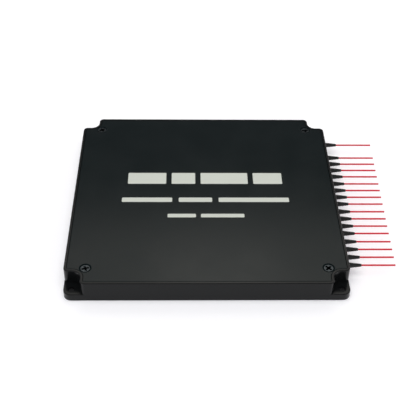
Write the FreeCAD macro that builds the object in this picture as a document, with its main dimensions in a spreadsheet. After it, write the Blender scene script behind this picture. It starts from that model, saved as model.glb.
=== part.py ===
"""PLC fibre splitter module: a flat moulded case with mounting ears, a screwed lid, and
one input and sixteen output fibre tails leaving through rubber boots in its right wall.

Millimetres. The origin is at the centre of the case's underside, +X towards the boots,
+Y towards the back and +Z up.
"""
import FreeCAD, Part
import math
import os

import Sketcher
from FreeCAD import Placement, Rotation, Vector

OUTPUTS = 16
OUTPUTS_PER_GROUP = 4
ORIGIN = (-1, 1)
# The corner that each lid screw is in, and the degrees that its recess stopped at when driven.
SCREW_CORNERS = ((-1, -1, 18), (1, -1, 45), (-1, 1, 38), (1, 1, 8))

SIZES = (
    # case
    ("case_width", 142.0),
    ("case_depth", 137.0),
    ("case_height", 12.0),
    ("floor_thickness", 1.8),
    ("rim_width", 1.3),
    ("ledge_width", 1.4),
    ("rim_round", 0.4),
    ("foot_chamfer", 0.3),
    # corner notches and mounting ears
    ("notch_length", 8.8),
    ("notch_round", 4.5),
    ("mouth_round", 2.4),
    ("cavity_mouth_round", 0.8),
    ("ear_height", 4.2),
    ("ear_round", 4.0),
    ("ear_bore", 3.2),
    ("ear_bore_inset", 4.0),
    # lid and its screws
    ("lid_thickness", 2.0),
    ("lid_clearance", 0.12),
    ("lid_corner_round", 0.8),
    ("lid_edge_chamfer", 0.25),
    ("screw_inset", 10.8),
    ("screw_length", 8.0),
    ("screw_shank", 2.4),
    ("screw_tip", 1.0),
    ("screw_head", 4.8),
    ("screw_head_land", 0.25),
    ("screw_lid_play", 0.4),
    ("screw_seat_gap", 0.03),
    ("countersink", 5.8),
    ("recess_span", 3.1),
    ("recess_arm", 0.85),
    ("recess_depth", 0.9),
    ("boss_outer", 6.6),
    ("pilot_clearance", 0.1),
    ("pilot_spare_depth", 1.0),
    # boots
    ("boot_axis", 6.0),
    ("input_boot_inset", 17.6),
    ("input_boot_gap", 12.4),
    ("last_boot_inset", 18.6),
    ("boot_group_gap", 0.56),
    ("boot_nose", 7.4),
    ("boot_base", 2.9),
    ("boot_tip", 1.45),
    ("boot_collar", 0.9),
    ("boot_flange", 4.3),
    ("boot_flange_thickness", 1.0),
    ("boot_wall_clearance", 0.1),
    # fibre tails
    ("tail_diameter", 0.9),
    ("tail_clearance", 0.05),
    ("back_tail_reach", 27.8),
    ("front_tail_reach", 24.75),
    ("tail_bend_radius", 20.0),
    ("tail_lead", 4.0),
    # splitter package, which stands on its narrow side
    ("package_length", 55.0),
    ("package_thickness", 4.0),
    ("package_tall", 7.0),
    ("package_wall", 0.4),
    ("package_round", 0.6),
    ("package_inset", 40.0),
    ("plug_thickness", 3.0),
    ("plug_clearance", 0.03),
    ("array_length", 8.0),
    ("array_base", 1.3),
    ("array_lid", 0.7),
    ("array_tall", 5.0),
    ("chip_length", 18.0),
    ("fibre_diameter", 0.25),
    ("tape_thickness", 0.7),
    ("tape_inset", 0.4),
    ("rib_thickness", 1.2),
    ("rib_length", 6.0),
    ("rib_tall", 3.5),
    ("rib_clearance", 0.15),
    ("rib_end_distance", 8.0),
    # ribbon and its guide
    ("ribbon_thickness", 0.3),
    ("ribbon_tall", 4.1),
    ("ribbon_clearance", 0.05),
    ("ribbon_lead", 2.5),
    ("guide_thickness", 1.6),
    ("guide_top_gap", 1.0),
    # fan-out
    ("fanout_inset", 49.0),
    ("fanout_length", 24.0),
    ("fanout_nose", 9.0),
    ("fanout_margin", 2.0),
    ("fanout_tall", 5.6),
    ("fanout_cover", 0.8),
    ("fanout_pitch", 1.5),
    ("fanout_shoulder", 7.0),
    ("fanout_socket", 6.0),
    ("platform_margin", 1.5),
    # how far a cut runs past the face it goes through
    ("overrun", 1.0),
)

document = FreeCAD.newDocument("plc_fibre_splitter")
sheet = document.addObject("Spreadsheet::Sheet", "sizes")
subparts = []


def fill_sheet():
    """One row for each driving dimension: its name, its value, and the name as alias."""
    for row, (name, size) in enumerate(SIZES, start=1):
        sheet.set(f"A{row}", name)
        sheet.set(f"B{row}", str(size))
        sheet.setAlias(f"B{row}", name)
    document.recompute()


def formula(text):
    """Every name of the sheet in the text, with the sheet in front of it."""
    names = {name for name, _ in SIZES}
    words = text.replace("(", " ( ").replace(")", " ) ").split()
    return " ".join(f"sizes.{word}" if word in names else word for word in words)


def size(text):
    """The value of an expression on the sheet."""
    return float(sheet.evalExpression(formula(text)))


# Places that several sub-parts share, as expressions on the sheet.
INPUT_Y = "( case_depth / 2 - input_boot_inset )"
FIRST_OUTPUT_Y = "( case_depth / 2 - input_boot_inset - input_boot_gap )"
LAST_OUTPUT_Y = "( last_boot_inset - case_depth / 2 )"
GROUP_GAPS = (OUTPUTS - 1) // OUTPUTS_PER_GROUP
BOOT_PITCH = f"( ( {FIRST_OUTPUT_Y} - {LAST_OUTPUT_Y} - {GROUP_GAPS} * boot_group_gap ) / {OUTPUTS - 1} )"
PACKAGE_X = "( package_inset - case_width / 2 )"
FANOUT_X = "( fanout_inset - case_width / 2 )"
FANOUT_Y = f"( ( {FIRST_OUTPUT_Y} + {LAST_OUTPUT_Y} ) / 2 )"
WALL = "( rim_width + ledge_width )"
LEDGE = "( case_height - lid_thickness )"
SCREW_X = "( case_width / 2 - screw_inset )"
SCREW_Y = "( case_depth / 2 - screw_inset )"
EAR_X = "( case_width / 2 - ear_bore_inset )"
EAR_Y = "( case_depth / 2 - ear_bore_inset )"
TAIL_BORE = "( tail_diameter / 2 + tail_clearance )"
PACKAGE_BASE = "( boot_axis - package_tall / 2 )"
PACKAGE_END = f"( {PACKAGE_X} + package_length )"
CHIP_PLACE = f"( {PACKAGE_X} + package_length / 2 - chip_length / 2 )"
CHIP_END = f"( {PACKAGE_X} + package_length / 2 + chip_length / 2 )"
TURN_RADIUS = f"( ( {INPUT_Y} - {FANOUT_Y} ) / 2 )"
TURN_X = f"( {PACKAGE_X} - ribbon_lead )"
TURN_Y = f"( ( {INPUT_Y} + {FANOUT_Y} ) / 2 )"
FANOUT_END = f"( {FANOUT_X} + fanout_length )"
FANOUT_BASE = "( boot_axis - fanout_tall / 2 )"
FANOUT_HALF = f"( {(OUTPUTS - 1) / 2} * fanout_pitch + fanout_margin )"


def boot_places():
    """(name, place along Y) of the input and of each output, from the back to the front."""
    places = [("in", INPUT_Y)]
    for index in range(OUTPUTS):
        groups = index // OUTPUTS_PER_GROUP
        place = f"( {FIRST_OUTPUT_Y} - {index} * {BOOT_PITCH} - {groups} * boot_group_gap )"
        places.append((f"out_{index + 1:02d}", place))
    return places


# ---------------------------------------------------------------- sketches and features


def new_body(name):
    body = document.addObject("PartDesign::Body", name)
    body.Label = name
    subparts.append(body)
    return body


def new_sketch(body, name, plane="XY_Plane", offset="0"):
    """A sketch on one of the body's own origin planes, moved along its normal."""
    sketch = body.newObject("Sketcher::SketchObject", name)
    support = [item for item in body.Origin.OriginFeatures if item.Role == plane]
    sketch.AttachmentSupport = (support[0], [""])
    sketch.MapMode = "FlatFace"
    sketch.setExpression("AttachmentOffset.Base.z", formula(offset))
    return sketch


def bind(sketch, constraint, text):
    """Adds a dimension and ties it to the sheet."""
    index = sketch.addConstraint(constraint)
    sketch.setExpression(f"Constraints[{index}]", formula(text))


def pin(sketch, kind, geometry, point, text):
    """Fixes one coordinate of a point, DistanceX or DistanceY, measured from the origin."""
    value = size(text)
    if abs(value) < 1e-9:
        along = -2 if kind == "DistanceX" else -1
        sketch.addConstraint(Sketcher.Constraint("PointOnObject", geometry, point, along))
    elif value > 0:
        bind(sketch, Sketcher.Constraint(kind, *ORIGIN, geometry, point, value), text)
    else:
        bind(sketch, Sketcher.Constraint(kind, geometry, point, *ORIGIN, -value), f"-1 * {text}")


def polygon(sketch, corners):
    """A closed outline with sharp corners, each given by two expressions."""
    points = [Vector(size(x), size(y), 0) for x, y in corners]
    first = sketch.GeometryCount
    count = len(points)
    for index in range(count):
        sketch.addGeometry(Part.LineSegment(points[index], points[(index + 1) % count]), False)
    for index, (x, y) in enumerate(corners):
        before = first + (index - 1) % count
        sketch.addConstraint(Sketcher.Constraint("Coincident", before, 2, first + index, 1))
        pin(sketch, "DistanceX", first + index, 1, x)
        pin(sketch, "DistanceY", first + index, 1, y)


def square_outline(sketch, corners):
    """A closed outline of lines along the axes, whose corners are arcs of a given radius."""
    points = [Vector(size(x), size(y), 0) for x, y, _ in corners]
    radii = [size(radius) for _, _, radius in corners]
    first = sketch.GeometryCount
    count = len(points)
    toward = [(points[(i + 1) % count] - points[i]).normalize() for i in range(count)]
    for i in range(count):
        following = (i + 1) % count
        start = points[i] + toward[i] * radii[i]
        end = points[following] - toward[i] * radii[following]
        sketch.addGeometry(Part.LineSegment(start, end), False)
    for i in range(count):
        centre = points[i] + (toward[i] - toward[i - 1]) * radii[i]
        start = points[i] - toward[i - 1] * radii[i]
        end = points[i] + toward[i] * radii[i]
        middle = centre + (points[i] - centre).normalize() * radii[i]
        sketch.addGeometry(Part.Arc(start, middle, end), False)
    for i, (x, y, radius) in enumerate(corners):
        line, before, arc = first + i, first + (i - 1) % count, first + count + i
        turns_left = toward[i - 1].cross(toward[i]).z > 0
        arc_start, arc_end = (1, 2) if turns_left else (2, 1)
        sketch.addConstraint(Sketcher.Constraint("Tangent", before, 2, arc, arc_start))
        sketch.addConstraint(Sketcher.Constraint("Tangent", arc, arc_end, line, 1))
        if abs(toward[i].x) > 0.5:
            sketch.addConstraint(Sketcher.Constraint("Horizontal", line))
            pin(sketch, "DistanceY", line, 1, y)
        else:
            sketch.addConstraint(Sketcher.Constraint("Vertical", line))
            pin(sketch, "DistanceX", line, 1, x)
        bind(sketch, Sketcher.Constraint("Radius", arc, radii[i]), radius)


def circle(sketch, x, y, radius):
    index = sketch.GeometryCount
    centre = Vector(size(x), size(y), 0)
    sketch.addGeometry(Part.Circle(centre, Vector(0, 0, 1), size(radius)), False)
    pin(sketch, "DistanceX", index, 3, x)
    pin(sketch, "DistanceY", index, 3, y)
    bind(sketch, Sketcher.Constraint("Radius", index, size(radius)), radius)


def rectangle(sketch, low_x, high_x, low_y, high_y):
    polygon(sketch, [(low_x, low_y), (high_x, low_y), (high_x, high_y), (low_x, high_y)])


def box_outline(sketch, low_x, high_x, low_y, high_y, radius):
    corners = [(low_x, low_y), (high_x, low_y), (high_x, high_y), (low_x, high_y)]
    square_outline(sketch, [(x, y, radius) for x, y in corners])


def extrude(body, kind, name, sketch, length, reverse=False):
    """A Pad or a Pocket of the sketch. Each is checked to have changed the volume."""
    before = body.Shape.Volume if body.Tip else 0.0
    feature = body.newObject(f"PartDesign::{kind}", name)
    feature.Profile = sketch
    feature.setExpression("Length", formula(length))
    feature.Reversed = reverse
    document.recompute()
    after = body.Shape.Volume
    if after < 1e-6 or (after - before) * (1 if kind == "Pad" else -1) < 1e-6:
        raise RuntimeError(f"{body.Label}: {name} has no effect, or leaves nothing")
    return feature


def pad(body, name, sketch, length, reverse=False):
    return extrude(body, "Pad", name, sketch, length, reverse)


def pocket(body, name, sketch, length, reverse=False):
    return extrude(body, "Pocket", name, sketch, length, reverse)


def revolve(body, name, sketch, axis):
    feature = body.newObject("PartDesign::Revolution", name)
    feature.Profile = sketch
    feature.ReferenceAxis = (sketch, [axis])
    feature.Angle = 360.0
    document.recompute()
    return feature


def dress(body, kind, name, base, test, amount):
    """A Fillet or Chamfer on each edge of the base feature that passes the test."""
    picked = [f"Edge{i}" for i, edge in enumerate(base.Shape.Edges, start=1) if test(edge)]
    if not picked:
        raise RuntimeError(f"{body.Label}: {name} finds no edge")
    feature = body.newObject(f"PartDesign::{kind}", name)
    feature.Base = (base, picked)
    feature.setExpression("Radius" if kind == "Fillet" else "Size", formula(amount))
    document.recompute()
    return feature


def flat_at(height):
    """A test for edges that lie wholly at one height."""
    level = size(height)

    def test(edge):
        box = edge.BoundBox
        return abs(box.ZMin - level) < 1e-4 and abs(box.ZMax - level) < 1e-4

    return test


def place(feature, x="0", y="0", z="0"):
    """Ties the placement of a sub-part to the sheet."""
    for axis, text in (("x", x), ("y", y), ("z", z)):
        feature.setExpression(f"Placement.Base.{axis}", formula(text))


# ---------------------------------------------------------------- case


def notched_corners(inset, notch_round, mouth_round):
    """The case's plan with its four corner notches, drawn in by the inset on every side."""
    half_x = f"( case_width / 2 - {inset} )"
    half_y = f"( case_depth / 2 - {inset} )"
    in_x = f"( case_width / 2 - notch_length - {inset} )"
    in_y = f"( case_depth / 2 - notch_length - {inset} )"
    corners = []
    for sign_x, sign_y in ((1, -1), (1, 1), (-1, 1), (-1, -1)):
        corner = [(in_x, half_y, mouth_round), (in_x, in_y, notch_round), (half_x, in_y, mouth_round)]
        if sign_x * sign_y > 0:
            corner.reverse()
        corners += [(f"{sign_x} * {x}", f"{sign_y} * {y}", radius) for x, y, radius in corner]
    return corners


def corner_circles(sketch, x, y, radius):
    for sign_x, sign_y in ((1, 1), (1, -1), (-1, 1), (-1, -1)):
        circle(sketch, f"{sign_x} * {x}", f"{sign_y} * {y}", radius)


def base_tray():
    """Moulded tray: ears, notched walls, lid rim and ledge, screw bosses and inner guides."""
    body = new_body("base_tray")

    ears = new_sketch(body, "ear_plan")
    half_x, half_y = "( case_width / 2 )", "( case_depth / 2 )"
    box_outline(ears, f"-1 * {half_x}", half_x, f"-1 * {half_y}", half_y, "ear_round")
    ear_plate = pad(body, "ear_plate", ears, "ear_height")
    ear_edge = dress(body, "Fillet", "ear_edge", ear_plate, flat_at("ear_height"), "rim_round")
    dress(body, "Chamfer", "foot_edge", ear_edge, flat_at("0"), "foot_chamfer")

    plan = new_sketch(body, "wall_plan", offset="foot_chamfer")
    square_outline(plan, notched_corners("0", "notch_round", "mouth_round"))
    walls = pad(body, "walls", plan, "case_height - foot_chamfer")
    dress(body, "Fillet", "rim_edge", walls, flat_at("case_height"), "rim_round")

    recess = new_sketch(body, "lid_recess_plan", offset="case_height")
    lid_corner = "( lid_corner_round + lid_clearance )"
    square_outline(recess, notched_corners("rim_width", "( notch_round + rim_width )", lid_corner))
    pocket(body, "lid_recess", recess, "lid_thickness")

    cavity = new_sketch(body, "cavity_plan", offset=LEDGE)
    square_outline(cavity, notched_corners(WALL, f"( notch_round + {WALL} )", "cavity_mouth_round"))
    pocket(body, "cavity", cavity, f"{LEDGE} - floor_thickness")

    bosses = new_sketch(body, "boss_plan", offset="floor_thickness / 2")
    corner_circles(bosses, SCREW_X, SCREW_Y, "boss_outer / 2")
    pad(body, "screw_bosses", bosses, f"{LEDGE} - floor_thickness / 2")

    inner_guides(body)

    pilots = new_sketch(body, "pilot_plan", offset=LEDGE)
    corner_circles(pilots, SCREW_X, SCREW_Y, "( screw_shank / 2 + pilot_clearance )")
    depth = "screw_length - lid_thickness + pilot_spare_depth"
    pocket(body, "screw_pilots", pilots, depth)

    bores = new_sketch(body, "ear_bore_plan", offset="ear_height")
    corner_circles(bores, EAR_X, EAR_Y, "( ear_bore / 2 )")
    pocket(body, "ear_bores", bores, "ear_height + overrun")

    ports = new_sketch(body, "port_face", "YZ_Plane", "case_width / 2")
    for _, y in boot_places():
        circle(ports, y, "boot_axis", "( boot_base / 2 + boot_wall_clearance )")
    pocket(body, "boot_ports", ports, f"{WALL} + overrun")


def inner_guides(body):
    """Ribs that hold the package, the half-round ribbon guide and the fan-out's platform."""
    ribs = new_sketch(body, "rib_plan", offset="floor_thickness / 2")
    side = "( package_thickness / 2 + rib_clearance )"
    for start in (
        f"( {PACKAGE_X} + rib_end_distance )",
        f"( {PACKAGE_END} - rib_end_distance - rib_length )",
    ):
        for low, high in (
            (f"( {INPUT_Y} + {side} )", f"( {INPUT_Y} + {side} + rib_thickness )"),
            (f"( {INPUT_Y} - {side} - rib_thickness )", f"( {INPUT_Y} - {side} )"),
        ):
            rectangle(ribs, start, f"( {start} + rib_length )", low, high)
    pad(body, "package_ribs", ribs, "floor_thickness / 2 + rib_tall")

    guide = new_sketch(body, "guide_plan", offset="floor_thickness / 2")
    outer = f"( {TURN_RADIUS} - ribbon_thickness / 2 - ribbon_clearance )"
    half_ring(guide, TURN_X, TURN_Y, f"( {outer} - guide_thickness )", outer)
    pad(body, "ribbon_guide", guide, f"{LEDGE} - guide_top_gap - floor_thickness / 2")

    platform = new_sketch(body, "platform_plan", offset="floor_thickness / 2")
    low_y = f"( {FANOUT_Y} - {FANOUT_HALF} - platform_margin )"
    high_y = f"( {FANOUT_Y} + {FANOUT_HALF} + platform_margin )"
    rectangle(platform, FANOUT_X, FANOUT_END, low_y, high_y)
    pad(body, "fanout_platform", platform, f"{FANOUT_BASE} - tape_thickness - floor_thickness / 2")


def half_ring(sketch, x, y, inner, outer):
    """The left half of a ring about (x, y), closed by two short lines."""
    first = sketch.GeometryCount
    centre = Vector(size(x), size(y), 0)
    for radius in (inner, outer):
        ring = Part.Circle(centre, Vector(0, 0, 1), size(radius))
        sketch.addGeometry(Part.ArcOfCircle(ring, math.pi / 2, 3 * math.pi / 2), False)
    for arc, radius in ((first, inner), (first + 1, outer)):
        pin(sketch, "DistanceX", arc, 3, x)
        pin(sketch, "DistanceY", arc, 3, y)
        bind(sketch, Sketcher.Constraint("Radius", arc, size(radius)), radius)
        for end in (1, 2):
            sketch.addConstraint(Sketcher.Constraint("Vertical", arc, 3, arc, end))
    for end, sign in ((1, 1), (2, -1)):
        line = sketch.GeometryCount
        low = centre + Vector(0, sign * size(inner), 0)
        high = centre + Vector(0, sign * size(outer), 0)
        sketch.addGeometry(Part.LineSegment(low, high), False)
        sketch.addConstraint(Sketcher.Constraint("Coincident", line, 1, first, end))
        sketch.addConstraint(Sketcher.Constraint("Coincident", line, 2, first + 1, end))


def lid():
    """Flat lid, let into the rim, with a chamfered edge and four countersunk holes."""
    body = new_body("lid")
    plan = new_sketch(body, "lid_plan")
    inset = "( rim_width + lid_clearance )"
    square_outline(plan, notched_corners(inset, f"( notch_round + {inset} )", "lid_corner_round"))
    plate = pad(body, "plate", plan, "lid_thickness")
    dress(body, "Chamfer", "plate_edge", plate, flat_at("lid_thickness"), "lid_edge_chamfer")

    holes = new_sketch(body, "hole_plan", offset="lid_thickness")
    corner_circles(holes, SCREW_X, SCREW_Y, "( screw_shank / 2 + screw_lid_play / 2 )")
    bored = pocket(body, "screw_holes", holes, "lid_thickness")

    level = flat_at("lid_thickness")
    bore = size("screw_shank / 2 + screw_lid_play / 2")

    def mouth(edge):
        return level(edge) and hasattr(edge.Curve, "Radius") and abs(edge.Curve.Radius - bore) < 1e-4

    sink = "( countersink - screw_shank - screw_lid_play ) / 2"
    dress(body, "Chamfer", "countersinks", bored, mouth, sink)
    place(body, z=LEDGE)


def lid_screws():
    """Countersunk thread-forming screws with a cross recess, one inward of each notch."""
    for number, (sign_x, sign_y, turn) in enumerate(SCREW_CORNERS, start=1):
        body = new_body(f"lid_screw_{number}")
        profile = new_sketch(body, f"screw_profile_{number}", "XZ_Plane")
        cone = "( ( screw_head - screw_shank ) / 2 )"
        polygon(
            profile,
            [
                ("0", "0"),
                ("screw_head / 2", "0"),
                ("screw_head / 2", "-1 * screw_head_land"),
                ("screw_shank / 2", f"-1 * ( screw_head_land + {cone} )"),
                ("screw_shank / 2", "-1 * ( screw_length - screw_tip )"),
                ("0", "-1 * screw_length"),
            ],
        )
        revolve(body, f"turned_{number}", profile, "V_Axis")
        recess = new_sketch(body, f"recess_plan_{number}")
        span, arm = "( recess_span / 2 )", "( recess_arm / 2 )"
        quarter = [(span, f"-1 * {arm}"), (span, arm), (arm, arm)]
        outline = []
        for turn in range(4):
            outline += quarter
            quarter = [(f"-1 * {y}", x) for x, y in quarter]
        polygon(recess, [(x, y) for x, y in outline])
        pocket(body, f"recess_{number}", recess, "recess_depth")
        height = "case_height - ( countersink - screw_head ) / 2 + screw_head_land + screw_seat_gap"
        body.Placement = Placement(Vector(0, 0, 0), Rotation(Vector(0, 0, 1), turn))
        place(body, f"{sign_x} * {SCREW_X}", f"{sign_y} * {SCREW_Y}", height)


# ---------------------------------------------------------------- boots and tails


def boots():
    """Tapered rubber strain reliefs, pushed through the wall up to an inner flange."""
    for name, y in boot_places():
        body = new_body(f"boot_{name}")
        profile = new_sketch(body, f"boot_profile_{name}", "XZ_Plane")
        polygon(
            profile,
            [
                (f"-1 * ( {WALL} + boot_flange_thickness )", TAIL_BORE),
                ("boot_nose", TAIL_BORE),
                ("boot_nose", "boot_tip / 2"),
                ("boot_collar", "boot_base / 2"),
                (f"-1 * {WALL}", "boot_base / 2"),
                (f"-1 * {WALL}", "boot_flange / 2"),
                (f"-1 * ( {WALL} + boot_flange_thickness )", "boot_flange / 2"),
            ],
        )
        revolve(body, f"moulded_{name}", profile, "H_Axis")
        place(body, "case_width / 2", y, "boot_axis")


def swept_tail(name, edges):
    """A round tail along a path of straight runs and tangent arcs."""
    path = Part.Wire(edges)
    start = edges[0].valueAt(edges[0].FirstParameter)
    section = Part.Circle(start, Vector(1, 0, 0), size("tail_diameter / 2"))
    shape = path.makePipe(Part.Face(Part.Wire([section.toShape()])))
    feature = document.addObject("Part::Feature", name)
    feature.Label = name
    feature.Shape = shape
    feature.Placement = Placement(Vector(0, 0, 0), Rotation())
    subparts.append(feature)


def bent_path(start, bend_start, bend_end, end, radius):
    """Straight along X, an S of two equal arcs with a straight run between, and straight again."""
    span = bend_end.x - bend_start.x
    shift = abs(bend_end.y - bend_start.y)
    side = 1.0 if bend_end.y > bend_start.y else -1.0
    reach = math.hypot(span, 2 * radius - shift)
    turn = math.asin(2 * radius / reach) - math.atan2(2 * radius - shift, span)

    def on_arc(centre, angle, toward):
        return centre + Vector(radius * math.sin(angle), toward * radius * math.cos(angle), 0)

    first_centre = bend_start + Vector(0, side * radius, 0)
    last_centre = bend_end - Vector(0, side * radius, 0)
    leave = on_arc(first_centre, turn, -side)
    meet = on_arc(last_centre, -turn, side)
    first_arc = Part.Arc(bend_start, on_arc(first_centre, turn / 2, -side), leave)
    last_arc = Part.Arc(meet, on_arc(last_centre, -turn / 2, side), bend_end)
    return [
        Part.LineSegment(start, bend_start).toShape(),
        first_arc.toShape(),
        Part.LineSegment(leave, meet).toShape(),
        last_arc.toShape(),
        Part.LineSegment(bend_end, end).toShape(),
    ]


def tails():
    """Buffered fibres: the input runs straight to the package, the outputs fan to the boots."""
    z = size("boot_axis")
    wall_outside = size("case_width / 2")
    flange = size(f"case_width / 2 - {WALL} - boot_flange_thickness")
    places = [(name, size(y)) for name, y in boot_places()]
    row_length = places[0][1] - places[-1][1]
    for index, (name, y) in enumerate(places):
        forward = (places[0][1] - y) / row_length
        reach = size("back_tail_reach") + forward * size("front_tail_reach - back_tail_reach")
        end = Vector(wall_outside + reach, y, z)
        if name == "in":
            start = Vector(size(f"{PACKAGE_END} - plug_thickness"), y, z)
            swept_tail(f"tail_{name}", [Part.LineSegment(start, end).toShape()])
            continue
        column = index - 1 - (OUTPUTS - 1) / 2
        socket_y = size(FANOUT_Y) - column * size("fanout_pitch")
        start = Vector(size(f"{FANOUT_END} - fanout_socket"), socket_y, z)
        bend_start = Vector(size(f"{FANOUT_END} + tail_lead"), socket_y, z)
        bend_end = Vector(flange - size("tail_lead"), y, z)
        swept_tail(f"tail_{name}", bent_path(start, bend_start, bend_end, end, size("tail_bend_radius")))


# ---------------------------------------------------------------- splitter package


def package_sleeve():
    """Drawn rectangular sleeve of the splitter package."""
    body = new_body("package_sleeve")
    section = new_sketch(body, "sleeve_section", "YZ_Plane")
    half_y, half_z = "( package_thickness / 2 )", "( package_tall / 2 )"
    box_outline(section, f"-1 * {half_y}", half_y, f"-1 * {half_z}", half_z, "package_round")
    inner_y = "( package_thickness / 2 - package_wall )"
    inner_z = "( package_tall / 2 - package_wall )"
    inner_round = "( package_round - package_wall )"
    box_outline(section, f"-1 * {inner_y}", inner_y, f"-1 * {inner_z}", inner_z, inner_round)
    pad(body, "sleeve", section, "package_length")
    place(body, PACKAGE_X, INPUT_Y, "boot_axis")


def end_plug(name, x):
    """A plug in one end of the sleeve, still without its passage."""
    body = new_body(name)
    section = new_sketch(body, f"{name}_section", "YZ_Plane")
    half_y = "( package_thickness / 2 - package_wall - plug_clearance )"
    half_z = "( package_tall / 2 - package_wall - plug_clearance )"
    rounding = "( package_round - package_wall )"
    box_outline(section, f"-1 * {half_y}", half_y, f"-1 * {half_z}", half_z, rounding)
    pad(body, f"{name}_block", section, "plug_thickness")
    place(body, x, INPUT_Y, "boot_axis")
    return body


def end_plugs():
    """Sleeve plugs: a round passage for the input tail, a slot for the output ribbon."""
    body = end_plug("input_plug", f"{PACKAGE_END} - plug_thickness")
    hole = new_sketch(body, "tail_passage", "YZ_Plane", "plug_thickness")
    circle(hole, "0", "0", TAIL_BORE)
    pocket(body, "tail_hole", hole, "plug_thickness")

    body = end_plug("output_plug", PACKAGE_X)
    slot = new_sketch(body, "ribbon_passage", "YZ_Plane", "plug_thickness")
    ribbon_slot(slot)
    pocket(body, "ribbon_hole", slot, "plug_thickness")


def ribbon_slot(sketch):
    half_y = "( ribbon_thickness / 2 + ribbon_clearance )"
    half_z = "( ribbon_tall / 2 + ribbon_clearance )"
    rectangle(sketch, f"-1 * {half_y}", half_y, f"-1 * {half_z}", half_z)


def upright_block(name, x, length, low_y, high_y):
    """A plain upright glass block of the optical train, centred on the boot axis."""
    body = new_body(name)
    section = new_sketch(body, f"{name}_section", "YZ_Plane")
    half = "( array_tall / 2 )"
    rectangle(section, low_y, high_y, f"-1 * {half}", half)
    pad(body, f"{name}_block", section, length)
    place(body, x, INPUT_Y, "boot_axis")
    return body


def optical_train():
    """Input array, splitter chip with its cover glass, and output array, end to end."""
    base = "( fibre_diameter / 2 )"
    array_x = f"{CHIP_PLACE} - array_length"
    low, high = f"-1 * ( array_base - {base} )", f"( array_lid + {base} )"
    upright_block("splitter_chip", CHIP_PLACE, "chip_length", low, base)
    upright_block("chip_cover", CHIP_PLACE, "chip_length", base, high)
    body = upright_block("output_array", array_x, "array_length", low, high)
    slot = new_sketch(body, "ribbon_seat", "YZ_Plane")
    ribbon_slot(slot)
    pocket(body, "ribbon_groove", slot, "array_length / 2", reverse=True)
    body = upright_block("input_array", CHIP_END, "array_length", low, high)
    groove = new_sketch(body, "fibre_seat", "YZ_Plane", "array_length")
    circle(groove, "0", "0", "( fibre_diameter / 2 )")
    pocket(body, "fibre_groove", groove, "array_length")


def input_fibre():
    """Bare fibre from the end of the input tail, through the input array, to the chip."""
    body = new_body("input_fibre")
    section = new_sketch(body, "fibre_section", "YZ_Plane")
    circle(section, "0", "0", "( fibre_diameter / 2 )")
    pad(body, "fibre", section, f"{PACKAGE_END} - plug_thickness - {CHIP_END}")
    place(body, CHIP_END, INPUT_Y, "boot_axis")


def chip_support():
    """Silicone bed that fills the sleeve under the optical train."""
    body = new_body("chip_support")
    section = new_sketch(body, "support_section")
    low_y = "( -1 * ( array_base - fibre_diameter / 2 ) )"
    high_y = "( array_lid + fibre_diameter / 2 )"
    rectangle(section, "0", "( chip_length + 2 * array_length )", low_y, high_y)
    pad(body, "bed", section, "( package_tall - array_tall ) / 2 - package_wall")
    place(body, f"{CHIP_PLACE} - array_length", INPUT_Y, f"{PACKAGE_BASE} + package_wall")


def package_tape():
    """Foam tape between the sleeve and the tray's floor."""
    body = new_body("package_tape")
    plan = new_sketch(body, "package_tape_plan")
    half = "( package_thickness / 2 - tape_inset )"
    rectangle(plan, "tape_inset", "( package_length - tape_inset )", f"-1 * {half}", half)
    pad(body, "package_foam", plan, f"{PACKAGE_BASE} - floor_thickness")
    place(body, PACKAGE_X, INPUT_Y, "floor_thickness")


# ---------------------------------------------------------------- ribbon and fan-out


def output_ribbon():
    """Ribbon on edge, from the output array round the guide to the fan-out."""
    body = new_body("output_ribbon")
    plan = new_sketch(body, "ribbon_plan", offset="boot_axis - ribbon_tall / 2")
    inner = f"( {TURN_RADIUS} - ribbon_thickness / 2 )"
    outer = f"( {TURN_RADIUS} + ribbon_thickness / 2 )"
    ends = (
        f"( {CHIP_PLACE} - array_length / 2 )",
        f"( {FANOUT_X} + fanout_shoulder )",
    )
    looped_band(plan, TURN_X, TURN_Y, inner, outer, ends)
    pad(body, "ribbon", plan, "ribbon_tall")


def looped_band(sketch, x, y, inner, outer, ends):
    """A half ring about (x, y) whose two ends run on to the right, each to its own end."""
    centre = Vector(size(x), size(y), 0)
    first = sketch.GeometryCount
    for radius in (inner, outer):
        ring = Part.Circle(centre, Vector(0, 0, 1), size(radius))
        sketch.addGeometry(Part.ArcOfCircle(ring, math.pi / 2, 3 * math.pi / 2), False)
    for arc, radius in ((first, inner), (first + 1, outer)):
        pin(sketch, "DistanceX", arc, 3, x)
        pin(sketch, "DistanceY", arc, 3, y)
        bind(sketch, Sketcher.Constraint("Radius", arc, size(radius)), radius)
    for point, sign, end in ((1, 1, ends[0]), (2, -1, ends[1])):
        low = centre + Vector(0, sign * size(inner), 0)
        high = centre + Vector(0, sign * size(outer), 0)
        run = Vector(size(end) - centre.x, 0, 0)
        line = sketch.GeometryCount
        sketch.addGeometry(Part.LineSegment(low, low + run), False)
        sketch.addGeometry(Part.LineSegment(low + run, high + run), False)
        sketch.addGeometry(Part.LineSegment(high + run, high), False)
        sketch.addConstraint(Sketcher.Constraint("Tangent", line, 1, first, point))
        sketch.addConstraint(Sketcher.Constraint("Coincident", line, 2, line + 1, 1))
        sketch.addConstraint(Sketcher.Constraint("Coincident", line + 1, 2, line + 2, 1))
        sketch.addConstraint(Sketcher.Constraint("Tangent", line + 2, 2, first + 1, point))
        sketch.addConstraint(Sketcher.Constraint("Horizontal", line))
        sketch.addConstraint(Sketcher.Constraint("Horizontal", line + 2))
        sketch.addConstraint(Sketcher.Constraint("Vertical", line + 1))
        pin(sketch, "DistanceX", line + 1, 1, end)


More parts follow.
